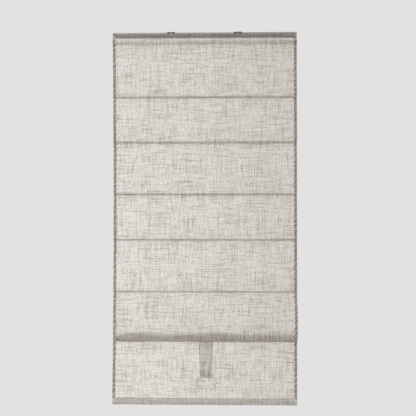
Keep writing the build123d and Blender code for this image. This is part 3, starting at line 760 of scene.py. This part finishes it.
class SHADE_OT_fit_pull(bpy.types.Operator):
    """Sew the tapered pull strap to the last rib and hang the clear handle in its loop"""

    bl_idname = "shade.fit_pull"
    bl_label = "Fit Pull"

    def execute(self, context):
        finish = context.scene.shade_finish
        thickness, front_gap, bar_radius = 0.001, 0.0006, 0.0025
        lap_start, lap_end, lap_seam = 0.012, 0.028, 0.024
        edge_seam, end_seam, waver, columns = 0.021, 0.004, 0.0004, 25
        plane = STRAP_LOW.y + front_gap
        bar_level, top = HANDLE_HIGH.z - bar_radius, STRAP_HIGH.z
        # Ribbon: down, round the handle's bar and up again to the sewn end
        down_end, up_start = (plane, bar_level), (plane + 2 * (HANDLE_Y - plane), bar_level)
        lap_low, lap_high = ((plane + thickness, bar_level + rise) for rise in (lap_start, lap_end))
        section = np.vstack((
            [(plane, top)],
            line_points((plane, top), down_end, 0.004),
            arc_points(down_end, up_start, (0, -1), 0.0009),
            arc_points(up_start, lap_low, (0, 1), 0.001),
            line_points(lap_low, lap_high, 0.004),
        ))
        along = run_lengths(section)
        top_half, end_half = (STRAP_HIGH.x - STRAP_LOW.x) / 2, 0.024
        taper = np.clip((top - section[:, 1]) / (top - bar_level), 0, 1)
        half = (top_half + (end_half - top_half) * taper)[:, None]
        shares = np.linspace(-1, 1, columns)[None, :]
        x, z = half * shares, section[:, 1:] + 0 * shares
        y = section[:, :1] + waver * wander(z * 14, 2.2) * np.sin(np.pi * taper)[:, None]
        sewn = [("X", -edge_seam), ("X", edge_seam)]
        sewn += [("Y", run) for run in (end_seam, top - bar_level - lap_seam, along[-1] - end_seam)]
        ground, slub = (0.89, 0.875, 0.85, 1.0), (0.46, 0.43, 0.39, 1.0)
        linen = linen_finish("strap_linen", ground, slub, 0.95, rows=sewn, thread=finish.thread)
        grid = np.stack((x, y, z), axis=-1)
        strap = sheet_mesh("pull_strap_webbing", grid, shares[0] * end_half, along, [linen])
        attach(strap, "rib_6")
        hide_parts("pull_strap")
        paint("pull_handle", clear_finish("handle_clear"), SOFT_EDGE)
        return {"FINISHED"}


def cord_route(name, points, radius):
    """Round cord whose smooth line has the route's points as control points."""
    curve = bpy.data.curves.new(name, "CURVE")
    curve.dimensions = "3D"
    curve.bevel_depth = radius
    curve.bevel_resolution = 2
    curve.resolution_u = 6
    curve.use_fill_caps = True
    spline = curve.splines.new("NURBS")
    spline.points.add(len(points) - 1)
    for point, place in zip(spline.points, points):
        point.co = (*place, 1.0)
    spline.order_u = 3
    spline.use_endpoint_u = True
    return add_object(name, curve)


def cord_line(piece):
    """Points along a cord's line, and its length."""
    bare = piece.copy()
    bare.data = piece.data.copy()
    bare.data.bevel_depth = 0.0
    line = bpy.data.meshes.new_from_object(bare)
    points = np.array([vertex.co for vertex in line.vertices])
    bpy.data.meshes.remove(line)
    bpy.data.curves.remove(bare.data)
    return points, float(run_lengths(points)[-1])


class SHADE_OT_string_lift_cords(bpy.types.Operator):
    """String a braided lift cord from each spool through its guide and eyelets to a knot in its anchor"""

    bl_idname = "shade.string_lift_cords"
    bl_label = "String Lift Cords"

    def execute(self, context):
        braid = braid_finish("cord_braid", (0.70, 0.69, 0.64, 1.0))
        radius, bend, knot = 0.0007, 0.006, 0.002
        for side, name in zip((-1, 1), SIDES):
            node = f"lift_cord_{name}"
            low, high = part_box(node)
            y, level = (low.y + high.y) / 2, high.z - radius
            outer = side * (max(abs(low.x), abs(high.x)) - knot)
            spool = side * min(abs(low.x), abs(high.x))
            run = [(spool, y, level), ((spool + outer) / 2, y, level), (outer - side * bend, y, level),
                   (outer, y, level), (outer, y, level - bend), (outer, y, RAIL_BOTTOM)]
            drop = [(outer, y, height)
                    for height in (RAIL_BOTTOM, (RAIL_BOTTOM + HEM_HIGH.z) / 2, HEM_HIGH.z)]
            in_rail = cord_route(f"{node}_in_rail", run, radius)
            line = cord_route(f"{node}_line", drop, radius)
            path, drop_length = cord_line(line)
            hanging = add_object(f"{node}_hanging", bpy.data.meshes.new_from_object(line))
            bpy.data.objects.remove(line)
            tied = cord_route(f"{node}_knot", self.knot_route(outer, y, low.z, knot), radius)
            for piece, body in ((in_rail, "headrail"), (hanging, "headrail"), (tied, "bottom_rail")):
                piece.data.materials.append(braid)
                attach(piece, body)
                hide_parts(node)
            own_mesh(hanging)
            cord_line(in_rail)[1]
        return {"FINISHED"}

    def knot_route(self, x, y, bottom, radius):
        """Cord's end: down through the anchor, then wound twice round itself."""
        turns, count, coil, height = 2, 12, 0.7 * radius, 1.7 * radius
        end = bottom + radius / 3
        route = [(x, y, HEM_HIGH.z), (x, y, (HEM_HIGH.z + bottom) / 2), (x, y, end)]
        for number in range(turns * count + 1):
            angle = 2 * math.pi * number / count
            level = end + height * number / (turns * count)
            route.append((x + coil * math.cos(angle), y + coil * math.sin(angle), level))
        return route


class SHADE_OT_finish_headrail(bpy.types.Operator):
    """Finish the headrail, its caps, strips and brackets"""

    bl_idname = "shade.finish_headrail"
    bl_label = "Finish Headrail"

    def execute(self, context):
        finish = context.scene.shade_finish
        rail = solid_finish("rail_paint", finish.rail_white, 0.35, grain=900.0, vary=0.03)
        paint("headrail_channel", rail, EDGE)
        plastic = solid_finish("cap_plastic", finish.plastic_white, 0.45)
        for side in SIDES:
            paint(f"end_cap_{side}", plastic, SOFT_EDGE)
            paint(f"cord_guide_{side}", plastic, EDGE)
            dark = solid_finish(f"bracket_paint_{side}", finish.bracket_dark, 0.4, vary=0.2)
            paint(f"bracket_{side}", dark, EDGE)
        # Dark grey hook-and-loop tape: its own colour, but also partly painted shade, since its darkness seen
        # through the cloth darkens the top band in front of it
        tape = solid_finish("fastening_tape", (0.10, 0.10, 0.10), 0.9, grain=2200.0, vary=0.12,
                            depth=0.0004)
        for strip in ("hook_strip", "loop_strip"):
            paint(strip, tape)
        return {"FINISHED"}


class SHADE_OT_finish_motor(bpy.types.Operator):
    """Finish the spring motor's housing, wheels and spring"""

    bl_idname = "shade.finish_motor"
    bl_label = "Finish Motor"

    def execute(self, context):
        finish = context.scene.shade_finish
        housing = solid_finish("motor_plastic", finish.plastic_white, 0.5)
        for node in ("motor_base", "motor_cover"):
            paint(node, housing, EDGE)
        wheel = solid_finish("wheel_acetal", (0.52, 0.52, 0.49), 0.35, vary=0.05)
        for node in ("cord_spool_left", "cord_spool_right", "idler_gear", "drive_drum", "storage_drum"):
            paint(node, wheel)
        paint("drive_spring", solid_finish("spring_steel", (0.45, 0.45, 0.46), 0.28, grain=700.0,
                                           stretch=(1.0, 1.0, 0.04), metallic=1.0))
        return {"FINISHED"}


class SHADE_OT_set_stage(bpy.types.Operator):
    """Set the floor, the soft light, the pale background and the camera"""

    bl_idname = "shade.set_stage"
    bl_label = "Set Stage"

    def execute(self, context):
        stage = context.scene.shade_stage
        context.scene.view_settings.view_transform = "Standard"
        self.lay_floor(stage)
        self.light_room(context, stage)
        lens = bpy.data.cameras.new("camera")
        lens.lens = stage.lens
        camera = add_object("camera", lens)
        level = math.cos(stage.elevation)
        forward = Vector((-math.sin(stage.azimuth) * level, math.cos(stage.azimuth) * level,
                          -math.sin(stage.elevation)))
        camera.location = Vector(stage.target) - forward * stage.distance
        camera.rotation_euler = forward.to_track_quat("-Z", "Y").to_euler()
        context.scene.camera = camera
        return {"FINISHED"}

    def lay_floor(self, stage):
        """Round pale floor that fades into the background at its edge."""
        reach, fade_start, count = 1.25, 0.6, 96
        turns = np.linspace(0, 2 * np.pi, count, endpoint=False)
        corners = [(reach * math.cos(turn), reach * math.sin(turn), stage.floor_drop) for turn in turns]
        mesh = bpy.data.meshes.new("floor")
        mesh.from_pydata(corners, [], [list(range(count))])
        floor = add_object("floor", mesh)
        material, tree, surface = new_finish("floor")
        surface.inputs["Base Color"].default_value = (0.78, 0.78, 0.77, 1.0)
        surface.inputs["Roughness"].default_value = 0.9
        place = add_node(tree, "ShaderNodeTexCoord").outputs["Object"]
        away = stretch_place(tree, place, (1.0, 1.0, 0.0))
        away = add_node(tree, "ShaderNodeVectorMath", {0: away}, operation="LENGTH").outputs["Value"]
        edge = add_range(tree, away, before=(fade_start, reach), ease="SMOOTHSTEP")
        fade = times(tree, edge, add_node(tree, "ShaderNodeLightPath").outputs["Is Camera Ray"])
        pale = add_node(tree, "ShaderNodeEmission", {"Color": tuple(stage.background)}).outputs[0]
        mix_in(tree, fade, surface, pale)
        mesh.materials.append(material)

    def light_room(self, context, stage):
        """Soft light from the room, lamps in front and behind, and a plain pale background."""
        low_light, high_light = 0.08, 0.95
        world = bpy.data.worlds.new("room")
        world.use_nodes = True
        context.scene.world = world
        tree = world.node_tree
        place = add_node(tree, "ShaderNodeTexCoord").outputs["Generated"]
        way = add_node(tree, "ShaderNodeSeparateXYZ", {0: place}).outputs
        # In front of the cloth the light falls off from above to below
        slant = times(tree, add_math(tree, "MINIMUM", way["Y"]), way["Z"])
        tone = add_range(tree, slant, before=(0.5, -0.5), after=(low_light, high_light))
        soft = add_node(tree, "ShaderNodeBackground", {"Color": (1.0, 0.985, 0.965, 1.0), "Strength": tone})
        pale = add_node(tree, "ShaderNodeBackground", {"Color": tuple(stage.background)})
        path = add_node(tree, "ShaderNodeLightPath").outputs
        clear = add_math(tree, "SUBTRACT", path["Is Transmission Ray"], path["Is Diffuse Ray"])
        shown = add_math(tree, "MAXIMUM", path["Is Camera Ray"], path["Is Glossy Ray"])
        shown = add_math(tree, "MAXIMUM", shown, clear)
        shaders = {0: shown, 1: soft.outputs[0], 2: pale.outputs[0]}
        mixed = add_node(tree, "ShaderNodeMixShader", shaders).outputs[0]
        tree.links.new(mixed, tree.nodes["World Output"].inputs["Surface"])
        for name, spot, size, power in LAMPS:
            light = bpy.data.lights.new(name, "AREA")
            light.size = size
            light.energy = power
            light.color = LAMP_TINT
            lamp = add_object(name, light)
            lamp.location = spot
            lamp.rotation_euler = (LAMP_AIM - Vector(spot)).to_track_quat("-Z", "Y").to_euler()
            lamp.visible_camera = False
            lamp.visible_glossy = False


class SHADE_PT_panel(bpy.types.Panel):
    """Settings and steps that build the shade"""

    bl_idname = "SHADE_PT_panel"
    bl_label = "Roman Shade"
    bl_space_type = "VIEW_3D"
    bl_region_type = "UI"
    bl_category = "Shade"

    def draw(self, context):
        for settings in ("shade_cloth", "shade_finish", "shade_stage"):
            group = getattr(context.scene, settings)
            box = self.layout.box()
            for name in group.__annotations__:
                box.prop(group, name)
        for step in STEPS:
            self.layout.operator(step.bl_idname)


STEPS = (
    SHADE_OT_hang_cloth,
    SHADE_OT_sew_rib_sleeves,
    SHADE_OT_sew_bottom_hem,
    SHADE_OT_fit_pull,
    SHADE_OT_string_lift_cords,
    SHADE_OT_finish_headrail,
    SHADE_OT_finish_motor,
    SHADE_OT_set_stage,
)
GROUPS = (("shade_cloth", ShadeClothSizes), ("shade_finish", ShadeFinishes), ("shade_stage", ShadeStageView))


def register():
    """Make the settings, steps and panel known to Blender."""
    for name, group in GROUPS:
        bpy.utils.register_class(group)
        setattr(bpy.types.Scene, name, PointerProperty(type=group))
    for step in (*STEPS, SHADE_PT_panel):
        bpy.utils.register_class(step)


def unregister():
    """Take the settings, steps and panel away again."""
    for step in (SHADE_PT_panel, *reversed(STEPS)):
        bpy.utils.unregister_class(step)
    for name, group in reversed(GROUPS):
        delattr(bpy.types.Scene, name)
        bpy.utils.unregister_class(group)


def main():
    """Build the shade and its stage."""
    register()
    bpy.ops.shade.hang_cloth()
    bpy.ops.shade.sew_rib_sleeves()
    bpy.ops.shade.sew_bottom_hem()
    bpy.ops.shade.fit_pull()
    bpy.ops.shade.string_lift_cords()
    bpy.ops.shade.finish_headrail()
    bpy.ops.shade.finish_motor()
    bpy.ops.shade.set_stage()
    bpy.context.view_layer.update()


if __name__ == "__main__":
    main()
